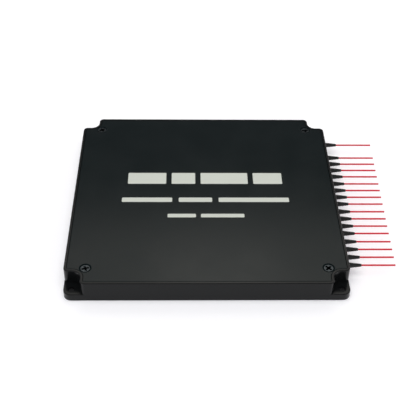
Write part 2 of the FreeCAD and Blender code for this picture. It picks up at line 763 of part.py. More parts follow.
def fanout_outline(sketch):
    """Plan of the fan-out: narrow at the ribbon, full width from the shoulder on."""
    nose = "( fanout_nose / 2 )"
    polygon(
        sketch,
        [
            ("0", f"-1 * {nose}"),
            ("fanout_shoulder", f"-1 * {FANOUT_HALF}"),
            ("fanout_length", f"-1 * {FANOUT_HALF}"),
            ("fanout_length", FANOUT_HALF),
            ("fanout_shoulder", FANOUT_HALF),
            ("0", nose),
        ],
    )


def fanout_body():
    """Potted block that takes the ribbon at its nose and sixteen tails in its back."""
    body = new_body("fanout_body")
    plan = new_sketch(body, "fanout_plan", offset="-1 * fanout_tall / 2")
    fanout_outline(plan)
    pad(body, "fanout_block", plan, "fanout_tall")
    slot = new_sketch(body, "ribbon_entry", "YZ_Plane")
    ribbon_slot(slot)
    pocket(body, "ribbon_mouth", slot, "fanout_shoulder", reverse=True)
    sockets = new_sketch(body, "socket_face", "YZ_Plane", "fanout_length")
    for index in range(OUTPUTS):
        circle(sockets, f"( {(OUTPUTS - 1) / 2 - index} * fanout_pitch )", "0", TAIL_BORE)
    pocket(body, "sockets", sockets, "fanout_socket")
    place(body, FANOUT_X, FANOUT_Y, "boot_axis")


def fanout_plates():
    """Cover on the fan-out, and the foam tape under it."""
    body = new_body("fanout_cover")
    plan = new_sketch(body, "cover_plan")
    fanout_outline(plan)
    pad(body, "cover_plate", plan, "fanout_cover")
    place(body, FANOUT_X, FANOUT_Y, "boot_axis + fanout_tall / 2")

    body = new_body("fanout_tape")
    plan = new_sketch(body, "fanout_tape_plan")
    half = f"( {FANOUT_HALF} - tape_inset )"
    rectangle(plan, "fanout_shoulder", "( fanout_length - tape_inset )", f"-1 * {half}", half)
    pad(body, "fanout_foam", plan, "tape_thickness")
    place(body, FANOUT_X, FANOUT_Y, f"{FANOUT_BASE} - tape_thickness")


# ---------------------------------------------------------------- build


def check_and_write():
    """Stops on any failed object or bad shape, then writes one STEP file for each sub-part."""
    document.recompute()
    for item in document.Objects:
        if {"Invalid", "Error"} & set(item.State):
            raise RuntimeError(f"{item.Label}: {item.State}")
    for part in subparts:
        shape = part.Shape
        if shape.isNull() or not shape.isValid() or len(shape.Solids) != 1:
            raise RuntimeError(f"{part.Label}: not one valid solid")
    os.makedirs("parts", exist_ok=True)
    for part in subparts:
        part.Shape.exportStep(os.path.join("parts", f"{part.Label}.step"))
    print(f"{len(subparts)} sub-parts written")


fill_sheet()
base_tray()
lid()
lid_screws()
boots()
tails()
package_sleeve()
end_plugs()
optical_train()
input_fibre()
chip_support()
package_tape()
output_ribbon()
fanout_body()
fanout_plates()
check_and_write()
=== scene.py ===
"""Looks of a box-type fibre splitter: moulded case, screws, rubber boots and fibre tails."""
import math

import bpy
from mathutils import Matrix, Vector


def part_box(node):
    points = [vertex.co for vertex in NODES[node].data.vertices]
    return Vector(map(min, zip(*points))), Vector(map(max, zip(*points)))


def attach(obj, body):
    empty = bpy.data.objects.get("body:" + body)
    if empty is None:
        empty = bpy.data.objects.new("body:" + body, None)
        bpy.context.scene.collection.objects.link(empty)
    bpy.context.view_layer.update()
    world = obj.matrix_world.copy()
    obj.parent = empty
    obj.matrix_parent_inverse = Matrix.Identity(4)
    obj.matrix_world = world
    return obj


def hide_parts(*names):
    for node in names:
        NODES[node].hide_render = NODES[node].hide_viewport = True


bl_info = {
    "name": "Fibre Splitter Looks",
    "version": (1, 0, 0),
    "blender": (4, 5, 0),
    "location": "3D View > Sidebar > Splitter",
    "description": "Finishes the case, screws, boots, tails and print of a fibre splitter",
    "category": "Object",
}

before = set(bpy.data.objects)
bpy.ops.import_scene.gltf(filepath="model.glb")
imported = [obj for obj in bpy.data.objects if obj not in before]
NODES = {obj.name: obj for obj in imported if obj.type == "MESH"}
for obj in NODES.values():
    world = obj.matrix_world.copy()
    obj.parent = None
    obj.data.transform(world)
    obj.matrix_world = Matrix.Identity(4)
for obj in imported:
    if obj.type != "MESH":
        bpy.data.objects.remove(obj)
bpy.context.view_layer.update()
MM = 0.001
BODY = "root"
BOOTS = sorted(name for name in NODES if name.startswith("boot_"))
TAILS = sorted(name for name in NODES if name.startswith("tail_"))
SCREWS = sorted(name for name in NODES if name.startswith("lid_screw_"))
# Degrees that each screw's recess stopped at when it was driven home.
SCREW_TURNS = (18, 45, 38, 8)
# The dull seat round each screw: its roughness, and where it fades out from the screw's axis.
SEAT_ROUGHNESS = 0.95
SEAT_RADIUS = 2.95 * MM
SEAT_FADE_END = 3.3 * MM
# The band of a noise's values that a finish spreads over its own span.
NOISE_LOW, NOISE_HIGH = 0.3, 0.7
# Light of the softboxes, and of the floor's lift.
WARM_WHITE = (1.0, 0.97, 0.90)
COOL_WHITE = (0.90, 0.88, 1.0)


# ---------------------------------------------------------------- sizes and colours


class SplitterCase(bpy.types.PropertyGroup):
    """Finish of the moulded tray and its lid."""

    tray_colour: bpy.props.FloatVectorProperty(
        name="Tray", description="Colour of the tray's plastic", subtype="COLOR",
        size=3, min=0.0, max=1.0, default=(0.0048, 0.0054, 0.0058))
    lid_colour: bpy.props.FloatVectorProperty(
        name="Lid", description="Colour of the lid's plastic", subtype="COLOR",
        size=3, min=0.0, max=1.0, default=(0.0008, 0.0042, 0.0052))
    roughness: bpy.props.FloatProperty(
        name="Roughness", description="Mean roughness of the moulded skin",
        min=0.0, max=1.0, default=0.19)
    grain: bpy.props.FloatProperty(
        name="Grain", description="Size of the spark-eroded grain", unit="LENGTH",
        min=0.0001, default=0.00035)
    relief: bpy.props.FloatProperty(
        name="Relief", description="Depth of the grain", unit="LENGTH",
        min=0.0, default=0.000004, precision=6)


class SplitterPrint(bpy.types.PropertyGroup):
    """Plain bars of ink on the lid."""

    ink: bpy.props.FloatVectorProperty(
        name="Ink", description="Colour of the printed bars", subtype="COLOR",
        size=3, min=0.0, max=1.0, default=(0.55, 0.575, 0.52))
    thickness: bpy.props.FloatProperty(
        name="Thickness", description="How far the ink stands above the lid", unit="LENGTH",
        min=0.0, default=0.00002, precision=6)
    corner: bpy.props.FloatProperty(
        name="Corner", description="Radius of the bars' corners", unit="LENGTH",
        min=0.0, default=0.0006)


class SplitterFasteners(bpy.types.PropertyGroup):
    """Countersunk screws of the lid."""

    steel: bpy.props.FloatVectorProperty(
        name="Black oxide", description="Colour of the screws", subtype="COLOR",
        size=3, min=0.0, max=1.0, default=(0.052, 0.060, 0.066))
    recess_span: bpy.props.FloatProperty(
        name="Recess", description="Width of the cross recess", unit="LENGTH",
        min=0.0, default=0.0038, precision=5)
    recess_arm: bpy.props.FloatProperty(
        name="Recess arm", description="Width of one arm of the cross", unit="LENGTH",
        min=0.0, default=0.00112, precision=5)
    recess_depth: bpy.props.FloatProperty(
        name="Recess depth", description="Depth of the cross recess", unit="LENGTH",
        min=0.0, default=0.0018, precision=5)


class SplitterPorts(bpy.types.PropertyGroup):
    """Rubber boots and red fibre tails."""

    rubber: bpy.props.FloatVectorProperty(
        name="Rubber", description="Colour of the boots", subtype="COLOR",
        size=3, min=0.0, max=1.0, default=(0.008, 0.008, 0.008))
    buffer: bpy.props.FloatVectorProperty(
        name="Buffer", description="Colour of the tails", subtype="COLOR",
        size=3, min=0.0, max=1.0, default=(0.60, 0.018, 0.038))
    core: bpy.props.FloatProperty(
        name="Core", description="Diameter of the coated fibre in a tail", unit="LENGTH",
        min=0.0, default=0.00025, precision=5)


class SplitterStage(bpy.types.PropertyGroup):
    """Camera, floor and lamps."""

    camera_place: bpy.props.FloatVectorProperty(
        name="Camera", description="Place of the camera", subtype="TRANSLATION", unit="LENGTH",
        size=3, default=(-0.0107105, -0.3667495, 0.3215281))
    camera_yaw: bpy.props.FloatProperty(
        name="Yaw", description="Turn of the camera to the right of +Y", subtype="ANGLE",
        default=0.0332)
    camera_pitch: bpy.props.FloatProperty(
        name="Pitch", description="Tilt of the camera below the horizon", subtype="ANGLE",
        default=0.7091)
    camera_roll: bpy.props.FloatProperty(
        name="Roll", description="Roll of the camera", subtype="ANGLE", default=0.0225)
    camera_lens: bpy.props.FloatProperty(
        name="Lens", description="Focal length on a 36 mm sensor, in millimetres",
        min=1.0, default=76.40)
    horizon: bpy.props.FloatProperty(
        name="Horizon", description="Brightness of the pale wall round the studio",
        min=0.0, default=1.0)
    ceiling: bpy.props.FloatProperty(
        name="Ceiling", description="Brightness of the studio above the wall",
        min=0.0, default=0.22)
    wall_top: bpy.props.FloatProperty(
        name="Wall top", description="Elevation at which the pale wall ends", subtype="ANGLE",
        default=0.35)
    softbox_power: bpy.props.FloatProperty(
        name="Softbox", description="Power of the softbox above and behind", min=0.0, default=2.35)
    core_power: bpy.props.FloatProperty(
        name="Softbox core", description="Power of the softbox's bright middle",
        min=0.0, default=0.4)
    overhead: bpy.props.FloatProperty(
        name="Overhead", description="Strength of the broad soft light overhead",
        min=0.0, default=1.95)
    floor_colour: bpy.props.FloatProperty(
        name="Floor", description="Paleness of the floor", min=0.0, max=1.0, default=0.85)
    floor_lift: bpy.props.FloatProperty(
        name="Floor lift", description="What the pale floor adds to its own colour in view",
        min=0.0, default=0.21)


# ---------------------------------------------------------------- modelling helpers


def deselect_all():
    """Leaves edit mode, if a piece is in it, and selects nothing."""
    if bpy.context.mode != "OBJECT":
        bpy.ops.object.mode_set(mode="OBJECT")
    bpy.ops.object.select_all(action="DESELECT")


def select_only(piece):
    """Leaves edit mode, if a piece is in it, and selects this piece alone."""
    deselect_all()
    piece.select_set(True)
    bpy.context.view_layer.objects.active = piece


def begin(name):
    """Names the primitive that was just added and opens it in edit mode."""
    piece = bpy.context.object
    piece.name = name
    piece.data.name = name
    bpy.ops.object.mode_set(mode="EDIT")
    return piece


def settle(piece):
    """Leaves edit mode and puts the piece's place into its mesh."""
    select_only(piece)
    bpy.ops.object.transform_apply(location=True, rotation=True, scale=True)
    return piece


def outward(piece):
    """Merges doubles and turns every face outwards."""
    select_only(piece)
    bpy.ops.object.mode_set(mode="EDIT")
    bpy.ops.mesh.select_all(action="SELECT")
    bpy.ops.mesh.remove_doubles(threshold=1e-7)
    bpy.ops.mesh.normals_make_consistent(inside=False)
    bpy.ops.object.mode_set(mode="OBJECT")


def close_holes(piece):
    """Caps every open end of a piece with one face."""
    select_only(piece)
    bpy.ops.object.mode_set(mode="EDIT")
    bpy.ops.mesh.select_all(action="DESELECT")
    bpy.ops.mesh.select_non_manifold()
    bpy.ops.mesh.fill_holes(sides=0)
    bpy.ops.object.mode_set(mode="OBJECT")
    outward(piece)


def smooth(piece, degrees=35.0):
    """Shades smooth all but the edges sharper than the angle."""
    select_only(piece)
    bpy.ops.object.shade_smooth_by_angle(angle=math.radians(degrees))


def apply_modifiers(piece):
    """Puts the piece's modifiers into its mesh, in their order."""
    select_only(piece)
    for modifier in list(piece.modifiers):
        bpy.ops.object.modifier_apply(modifier=modifier.name)


def turned(name, stations, axis, sides):
    """A turned form: a ring drawn out along the axis, one (place, radius) station at a time.

    The form is closed where its first and last stations are the same, and open at both ends
    where they aren't.
    """
    across = Matrix.Identity(4) if axis == "Z" else Matrix.Rotation(math.pi / 2, 4, "Y")
    along = Vector((0, 0, 1)) if axis == "Z" else Vector((1, 0, 0))
    deselect_all()
    first_place, first_radius = stations[0]
    bpy.ops.mesh.primitive_circle_add(
        vertices=sides, radius=first_radius, location=along * first_place,
        rotation=across.to_euler())
    piece = begin(name)
    bpy.ops.mesh.select_all(action="SELECT")
    for (before, radius_before), (place, radius) in zip(stations, stations[1:]):
        bpy.ops.mesh.extrude_region_move(
            TRANSFORM_OT_translate={"value": along * (place - before)})
        scale = radius / radius_before
        bpy.ops.transform.resize(value=(scale,) * 3, center_override=along * place)
    settle(piece)
    outward(piece)
    return piece


def copy_piece(source, name, shift, turn=0.0):
    """A copy with its own mesh, turned about Z and moved, its object still at the origin."""
    piece = source.copy()
    piece.data = source.data.copy()
    piece.name = name
    piece.data.name = name
    bpy.context.scene.collection.objects.link(piece)
    piece.data.transform(Matrix.Translation(shift) @ Matrix.Rotation(turn, 4, "Z"))
    return piece


def hand_over(piece, slot, material, *nodes):
    """Gives a piece its finish and its body, and hides the nodes that it stands for."""
    piece.data.materials.clear()
    piece.data.materials.append(material)
    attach(piece, BODY)
    if nodes:
        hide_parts(*nodes)


def finish_node(name, material):
    """Gives a CAD node that stays in view its material."""
    node = NODES[name]
    node.data.materials.clear()
    node.data.materials.append(material)


# ---------------------------------------------------------------- shader groups


def add_node(tree, kind, **inputs):
    """A node with its inputs set by name, an underscore for each space."""
    node = tree.nodes.new(kind)
    for name, value in inputs.items():
        node.inputs[name.replace("_", " ")].default_value = value
    return node


def maths(tree, operation, first, second):
    """A Math node on two values, each a number or a socket."""
    node = tree.nodes.new("ShaderNodeMath")
    node.operation = operation
    for socket, value in zip(node.inputs, (first, second)):
        if isinstance(value, (int, float)):
            socket.default_value = value
        else:
            tree.links.new(value, socket)
    return node.outputs[0]


def new_group(name, inputs, outputs):
    """An empty shader group of plain values, with its input and output nodes."""
    tree = bpy.data.node_groups.new(name, "ShaderNodeTree")
    for label, default in inputs:
        socket = tree.interface.new_socket(
            name=label, in_out="INPUT", socket_type="NodeSocketFloat")
        socket.default_value = default
    for label in outputs:
        tree.interface.new_socket(name=label, in_out="OUTPUT", socket_type="NodeSocketFloat")
    return tree, tree.nodes.new("NodeGroupInput"), tree.nodes.new("NodeGroupOutput")


def grain_group():
    """Fine even grain of a moulded or cast skin, with a slow mottle that changes its gloss."""
    tree, given, result = new_group(
        "SkinGrain", [("Scale", 3000.0), ("Mottle Scale", 60.0)], ["Height", "Mottle"])
    place = tree.nodes.new("ShaderNodeTexCoord")
    fine = add_node(tree, "ShaderNodeTexNoise", Detail=3.0, Roughness=0.6)
    slow = add_node(tree, "ShaderNodeTexNoise", Detail=4.0, Roughness=0.55)
    for noise, scale in ((fine, "Scale"), (slow, "Mottle Scale")):
        tree.links.new(place.outputs["Object"], noise.inputs["Vector"])
        tree.links.new(given.outputs[scale], noise.inputs["Scale"])
    tree.links.new(fine.outputs["Fac"], result.inputs["Height"])
    tree.links.new(slow.outputs["Fac"], result.inputs["Mottle"])
    return tree


def brushed_group():
    """Fine streaks along one axis, as on drawn or turned metal."""
    tree, given, result = new_group(
        "DrawnStreaks", [("Scale", 4000.0), ("Stretch", 0.02)], ["Streak"])
    place = tree.nodes.new("ShaderNodeTexCoord")
    split = tree.nodes.new("ShaderNodeSeparateXYZ")
    join = tree.nodes.new("ShaderNodeCombineXYZ")
    noise = add_node(tree, "ShaderNodeTexNoise", Detail=3.0)
    tree.links.new(place.outputs["Object"], split.inputs[0])
    stretched = maths(tree, "MULTIPLY", split.outputs["X"], given.outputs["Stretch"])
    tree.links.new(stretched, join.inputs["X"])
    tree.links.new(split.outputs["Y"], join.inputs["Y"])
    tree.links.new(split.outputs["Z"], join.inputs["Z"])
    tree.links.new(join.outputs[0], noise.inputs["Vector"])
    tree.links.new(given.outputs["Scale"], noise.inputs["Scale"])
    tree.links.new(noise.outputs["Fac"], result.inputs["Streak"])
    return tree


def shared_group(name):
    """The named shader group, made when it is first asked for."""
    makers = {"SkinGrain": grain_group, "DrawnStreaks": brushed_group}
    return bpy.data.node_groups.get(name) or makers[name]()


# ---------------------------------------------------------------- materials


def new_material(name, colour, roughness, metallic=0.0):
    """A material, its node tree and its Principled BSDF."""
    material = bpy.data.materials.new(name)
    material.use_nodes = True
    material.diffuse_color = (*colour, 1.0)
    shader = material.node_tree.nodes["Principled BSDF"]
    shader.inputs["Base Color"].default_value = (*colour, 1.0)
    shader.inputs["Roughness"].default_value = roughness
    shader.inputs["Metallic"].default_value = metallic
    return material, material.node_tree, shader


def map_range(tree, value, from_span, to_span, interpolation="LINEAR"):
    """The value, carried from one span to another and held at its ends."""
    node = tree.nodes.new("ShaderNodeMapRange")
    node.interpolation_type = interpolation
    node.inputs["From Min"].default_value, node.inputs["From Max"].default_value = from_span
    node.inputs["To Min"].default_value, node.inputs["To Max"].default_value = to_span
    tree.links.new(value, node.inputs["Value"])
    return node.outputs[0]


def shade_span(tree, noise, low, high):
    """A value from low to high as the noise goes through the middle of its values."""
    return map_range(tree, noise, (NOISE_LOW, NOISE_HIGH), (low, high))


def tinted(tree, fac, colour, spread):
    """The colour, a little darker and lighter with the factor."""
    darker = [channel * (1 - spread) for channel in colour]
    lighter = [min(channel * (1 + spread), 1.0) for channel in colour]
    node = tree.nodes.new("ShaderNodeMix")
    node.data_type = "RGBA"
    node.inputs["A"].default_value = (*darker, 1.0)
    node.inputs["B"].default_value = (*lighter, 1.0)
    tree.links.new(fac, node.inputs["Factor"])
    return node.outputs["Result"]


def grained(name, colour, roughness, grain, relief, spread=0.12, swing=0.06, specular=0.5):
    """A moulded, cast or rubbery skin: grain in the surface, mottle in colour and gloss."""
    material, tree, shader = new_material(name, colour, roughness)
    skin = tree.nodes.new("ShaderNodeGroup")
    skin.node_tree = shared_group("SkinGrain")
    skin.inputs["Scale"].default_value = 1.0 / grain
    bump = add_node(tree, "ShaderNodeBump", Strength=1.0, Distance=relief)
    tree.links.new(skin.outputs["Height"], bump.inputs["Height"])
    tree.links.new(bump.outputs["Normal"], shader.inputs["Normal"])
    gloss = shade_span(tree, skin.outputs["Mottle"], roughness - swing, roughness + swing)
    tree.links.new(gloss, shader.inputs["Roughness"])
    tint = tinted(tree, skin.outputs["Mottle"], colour, spread)
    tree.links.new(tint, shader.inputs["Base Color"])
    shader.inputs["Specular IOR Level"].default_value = specular
    return material


def dull_seats(material, place):
    """Takes the gloss off round a place and its mirror images in X, in Y and in both."""
    tree = material.node_tree
    shader = tree.nodes["Principled BSDF"]
    gloss = shader.inputs["Roughness"].links[0].from_socket
    value = tree.nodes.new("ShaderNodeTexCoord").outputs["Object"]
    for operation, constant in (
        ("ABSOLUTE", None),
        ("MULTIPLY", (1.0, 1.0, 0.0)),
        ("DISTANCE", (place.x, place.y, 0.0)),
    ):
        node = tree.nodes.new("ShaderNodeVectorMath")
        node.operation = operation
        tree.links.new(value, node.inputs[0])
        if constant:
            node.inputs[1].default_value = constant
        value = node.outputs["Value" if operation == "DISTANCE" else "Vector"]
    seat = map_range(
        tree, value, (SEAT_RADIUS, SEAT_FADE_END), (SEAT_ROUGHNESS, 0.0), "SMOOTHSTEP")
    tree.links.new(maths(tree, "MAXIMUM", gloss, seat), shader.inputs["Roughness"])


def drawn_metal(name, colour, roughness, spread=0.1, swing=0.08):
    """Bare metal with fine streaks along X in colour and gloss."""
    material, tree, shader = new_material(name, colour, roughness, metallic=1.0)
    streaks = tree.nodes.new("ShaderNodeGroup")
    streaks.node_tree = shared_group("DrawnStreaks")
    gloss = shade_span(tree, streaks.outputs["Streak"], roughness - swing, roughness + swing)
    tree.links.new(gloss, shader.inputs["Roughness"])
    tint = tinted(tree, streaks.outputs["Streak"], colour, spread)
    tree.links.new(tint, shader.inputs["Base Color"])
    return material


def clear_glass(
    name, colour, roughness=0.05, smoothest=0.03, roughest=0.10, grain=0.5 * MM, clearness=0.9
):
    """Glass that lets most light through, with a faint mottle in its gloss."""
    material, tree, shader = new_material(name, colour, roughness)
    shader.inputs["Transmission Weight"].default_value = clearness
    skin = tree.nodes.new("ShaderNodeGroup")
    skin.node_tree = shared_group("SkinGrain")
    skin.inputs["Scale"].default_value = 1.0 / grain
    gloss = shade_span(tree, skin.outputs["Mottle"], smoothest, roughest)
    tree.links.new(gloss, shader.inputs["Roughness"])
    return material


# ---------------------------------------------------------------- case


class SPLITTER_OT_case(bpy.types.Operator):
    """Finish the moulded tray and the lid"""

    bl_idname = "splitter.case"
    bl_label = "Case"

    def execute(self, context):
        case = context.scene.splitter_case
        for node, finish, colour in (
            ("base_tray", "satin_tray", case.tray_colour),
            ("lid", "satin_lid", case.lid_colour),
        ):
            material = grained(
                finish, colour, case.roughness, case.grain, case.relief, swing=0.02, specular=0.2)
            finish_node(node, material)
            if node == "lid":
                low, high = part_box(SCREWS[-1])
                dull_seats(material, (low + high) / 2)
        return {"FINISHED"}


class SPLITTER_OT_print(bpy.types.Operator):
    """Print plain bars of pale ink on the lid"""

    bl_idname = "splitter.print"
    bl_label = "Print"

    def execute(self, context):
        ink = context.scene.splitter_print
        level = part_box("lid")[1].z
        first, *others = self.bars()
        deselect_all()
        bpy.ops.mesh.primitive_plane_add(size=1.0, location=(0, 0, level))
        piece = begin("lid_print")
        self.shape_bar(first, (0, 0), level)
        for bar in others:
            bpy.ops.mesh.primitive_plane_add(size=1.0, location=(*bar[:2], level))
            self.shape_bar(bar, bar[:2], level)
        bpy.ops.mesh.select_all(action="SELECT")
        bpy.ops.mesh.bevel(offset=ink.corner, segments=4, affect="VERTICES")
        bpy.ops.mesh.select_all(action="SELECT")
        bpy.ops.mesh.extrude_region_move(
            TRANSFORM_OT_translate={"value": (0, 0, ink.thickness)})
        settle(piece)
        close_holes(piece)
        material = grained(
            "print_ink", ink.ink, roughness=0.45, grain=0.4 * MM, relief=0.004 * MM, spread=0.05)
        hand_over(piece, "lid_plastic", material)
        return {"FINISHED"}

    def shape_bar(self, bar, added_at, level):
        """Moves and sizes the plane that was just added, which alone is selected."""
        x, y, width, height = bar
        bpy.ops.transform.translate(value=(x - added_at[0], y - added_at[1], 0))
        bpy.ops.transform.resize(value=(width, height, 1.0), center_override=(x, y, level))

    def bars(self):
        """(x, y, width, height) of each bar, in three rows about the lid's middle.

        A row is given by its place in Y, its height, the gap between its bars and their widths,
        in millimetres.
        """
        bars = []
        for row_y, height, gap, widths in (
            (12.2, 9.5, 3.0, (21.0, 13.0, 26.0, 16.0)),
            (-6.0, 3.6, 3.5, (27.0, 18.0, 38.0)),
            (-18.8, 2.8, 2.6, (15.0, 23.0)),
        ):
            left = -(sum(widths) + gap * (len(widths) - 1)) / 2
            for width in widths:
                bars.append(((left + width / 2) * MM, row_y * MM, width * MM, height * MM))
                left += width + gap
        return bars


# ---------------------------------------------------------------- screws


class SPLITTER_OT_screws(bpy.types.Operator):
    """Model the countersunk cross-recess screws of the lid"""

    bl_idname = "splitter.screws"
    bl_label = "Screws"

    def execute(self, context):
        fasteners = context.scene.splitter_fasteners
        low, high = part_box(SCREWS[0])
        head = (high.x - low.x) / 2
        point = low.z - high.z
        shank = head / 2
        point_radius, point_length = 0.15 * MM, 1.0 * MM
        land, edge, hub = 0.25 * MM, 0.10 * MM, 0.2 * MM
        stations = [
            (point, point_radius),
            (point + point_length, shank),
            (-land - (head - shank), shank),
            (-land, head),
            (-edge, head),
            (-0.3 * edge, head - 0.3 * edge),
            (0.0, head - 1.2 * edge),
            (0.0, hub),
        ]
        screw = turned("screw_master", stations, "Z", sides=48)
        close_holes(screw)
        cutter = self.cross(fasteners)
        cut = screw.modifiers.new("Recess", "BOOLEAN")
        cut.operation = "DIFFERENCE"
        cut.solver = "EXACT"
        cut.object = cutter
        apply_modifiers(screw)
        bpy.data.objects.remove(cutter)
        # A small angle, so that the flat face isn't shaded as one with its rounded edge.
        smooth(screw, 12.0)
        material = self.black_oxide(fasteners)
        for node, turn in zip(SCREWS, SCREW_TURNS):
            node_low, node_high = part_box(node)
            middle = (node_low + node_high) / 2
            top_centre = Vector((middle.x, middle.y, node_high.z))
            piece = copy_piece(screw, f"{node}_made", top_centre, math.radians(turn))
            hand_over(piece, "black_screw", material, node)
        bpy.data.objects.remove(screw)
        return {"FINISHED"}

    def cross(self, fasteners):
        """A cross that cuts the recess: two crossing wedges, full width at the head's face."""
        arms = []
        depth = fasteners.recess_depth
        above = 0.02 * MM
        middle = (above - depth) / 2
        floor_span, floor_arm = 0.55, 0.75
        for turn in (0.0, math.pi / 2):
            deselect_all()
            bpy.ops.mesh.primitive_cube_add(size=1.0, location=(0, 0, middle))
            arm = begin("cross_arm")
            bpy.ops.mesh.select_all(action="SELECT")
            bpy.ops.transform.resize(
                value=(fasteners.recess_span, fasteners.recess_arm, depth + above),
                center_override=(0, 0, middle))
            bpy.ops.mesh.select_all(action="DESELECT")
            bpy.ops.object.mode_set(mode="OBJECT")
            for vertex in arm.data.vertices:
                vertex.select = vertex.co.z < middle
            bpy.ops.object.mode_set(mode="EDIT")
            bpy.ops.transform.resize(
                value=(floor_span, floor_arm, 1.0), center_override=(0, 0, -depth))
            settle(arm)
            arm.data.transform(Matrix.Rotation(turn, 4, "Z"))
            arms.append(arm)
        join = arms[0].modifiers.new("Join", "BOOLEAN")
        join.operation = "UNION"
        join.solver = "EXACT"
        join.object = arms[1]
        apply_modifiers(arms[0])
        bpy.data.objects.remove(arms[1])
        return arms[0]

    def black_oxide(self, fasteners):
        """Steel under a dark conversion coat."""
        material = grained(
            "black_oxide", fasteners.steel, roughness=0.23, grain=0.5 * MM, relief=0.003 * MM,
            spread=0.2, swing=0.05)
        material.node_tree.nodes["Principled BSDF"].inputs["Metallic"].default_value = 1.0
        return material


# ---------------------------------------------------------------- boots and tails


class SPLITTER_OT_boots(bpy.types.Operator):
    """Model the tapered rubber boots"""

    bl_idname = "splitter.boots"
    bl_label = "Boots"

    def execute(self, context):
        ports = context.scene.splitter_ports
        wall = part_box("base_tray")[1].x
        low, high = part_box(BOOTS[0])
        tip = high.x - wall
        inner = low.x - wall
        flange = (high.z - low.z) / 2
        flange_end = inner + 1.0 * MM
        collar_end, taper_start = 0.9 * MM, 1.3 * MM
        bore, nose, base = 0.5 * MM, 0.725 * MM, 1.45 * MM
        soft = 0.12 * MM
        # (distance out from the wall, radius), from the bore's inner end round and back to it
        stations = [
            (inner, bore), (inner, flange - soft), (inner + soft, flange),
            (flange_end - soft, flange), (flange_end, flange - soft), (flange_end, base),
            (collar_end, base), (taper_start, base - 0.05 * MM), (tip * 0.6, base - 0.40 * MM),
            (tip - 2 * soft, nose + 0.02 * MM), (tip - 0.5 * soft, nose - 0.3 * soft),
            (tip, nose - soft), (tip, bore), (inner, bore),
        ]
        boot = turned("boot_master", stations, "X", sides=32)
        smooth(boot, 40.0)
        material = grained(
            "soft_rubber", ports.rubber, roughness=0.6, grain=0.6 * MM, relief=0.02 * MM,
            specular=0.4)
        for node in BOOTS:
            node_low, node_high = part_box(node)
            middle = (node_low + node_high) / 2
            piece = copy_piece(boot, f"{node}_made", Vector((wall, middle.y, middle.z)))
            hand_over(piece, "boot_rubber", material, node)
        bpy.data.objects.remove(boot)
        return {"FINISHED"}


class SPLITTER_OT_tails(bpy.types.Operator):
    """Finish the buffered fibre tails and show the coated fibre in each cut end"""

    bl_idname = "splitter.tails"
    bl_label = "Tails"

    def execute(self, context):
        ports = context.scene.splitter_ports
        red = grained(
            "red_tail", ports.buffer, roughness=0.34, grain=0.8 * MM, relief=0.004 * MM,
            spread=0.06, specular=0.2)
        coating = grained(
            "fibre_coating", (0.80, 0.78, 0.70), roughness=0.3, grain=0.4 * MM,
            relief=0.002 * MM, spread=0.04)
        radius = ports.core / 2
        rooted, bevel_start, reach = -0.5 * MM, 0.06 * MM, 0.1 * MM
        stations = [(rooted, radius), (bevel_start, radius), (reach, radius * 0.6)]
        for node in TAILS:
            finish_node(node, red)
            # Seventeen thin shadows would only grey the floor that the tails are seen against.
            NODES[node].visible_shadow = False
            cut_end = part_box(node)[1].x
            low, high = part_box(node.replace("tail_", "boot_"))
            middle = (low + high) / 2
            core = turned(f"{node}_core", stations, "X", sides=16)
            close_holes(core)
            core.data.transform(Matrix.Translation((cut_end, middle.y, middle.z)))
            smooth(core)
            hand_over(core, "bare_fibre", coating)
        return {"FINISHED"}


# ---------------------------------------------------------------- pieces inside the case


class SPLITTER_OT_inside(bpy.types.Operator):
    """Finish the splitter package, the ribbon and the fan-out inside the case"""

    bl_idname = "splitter.inside"
    bl_label = "Inside"

    def execute(self, context):
        steel = drawn_metal("drawn_steel", (0.55, 0.56, 0.58), roughness=0.3)
        glass = clear_glass("ground_glass", (0.86, 0.92, 0.92))
        silica = clear_glass("polished_silica", (0.78, 0.84, 0.90))
        # name, colour, roughness, size of the grain and its depth
        rubber, acrylate, silicone, foam, matrix, black = (
            grained(name, colour, roughness, grain, relief)
            for name, colour, roughness, grain, relief in (
                ("firm_rubber", (0.02, 0.02, 0.022), 0.6, 0.6 * MM, 0.01 * MM),
                ("clear_acrylate", (0.8, 0.8, 0.74), 0.3, 0.4 * MM, 0.002 * MM),
                ("soft_silicone", (0.74, 0.74, 0.72), 0.55, 0.8 * MM, 0.02 * MM),
                ("white_foam", (0.7, 0.7, 0.68), 0.9, 0.3 * MM, 0.08 * MM),
                ("ribbon_matrix", (0.72, 0.60, 0.32), 0.35, 0.6 * MM, 0.01 * MM),
                ("satin_plastic", (0.02, 0.02, 0.022), 0.45, 0.4 * MM, 0.01 * MM),
            )
        )
        finishes = {
            "package_sleeve": steel, "input_plug": rubber, "output_plug": rubber,
            "input_array": glass, "output_array": glass, "chip_cover": glass,
            "splitter_chip": silica, "input_fibre": acrylate, "chip_support": silicone,
            "package_tape": foam, "fanout_tape": foam, "output_ribbon": matrix,
            "fanout_body": black, "fanout_cover": black,
        }
        for node, material in finishes.items():
            finish_node(node, material)
        return {"FINISHED"}


# ---------------------------------------------------------------- stage


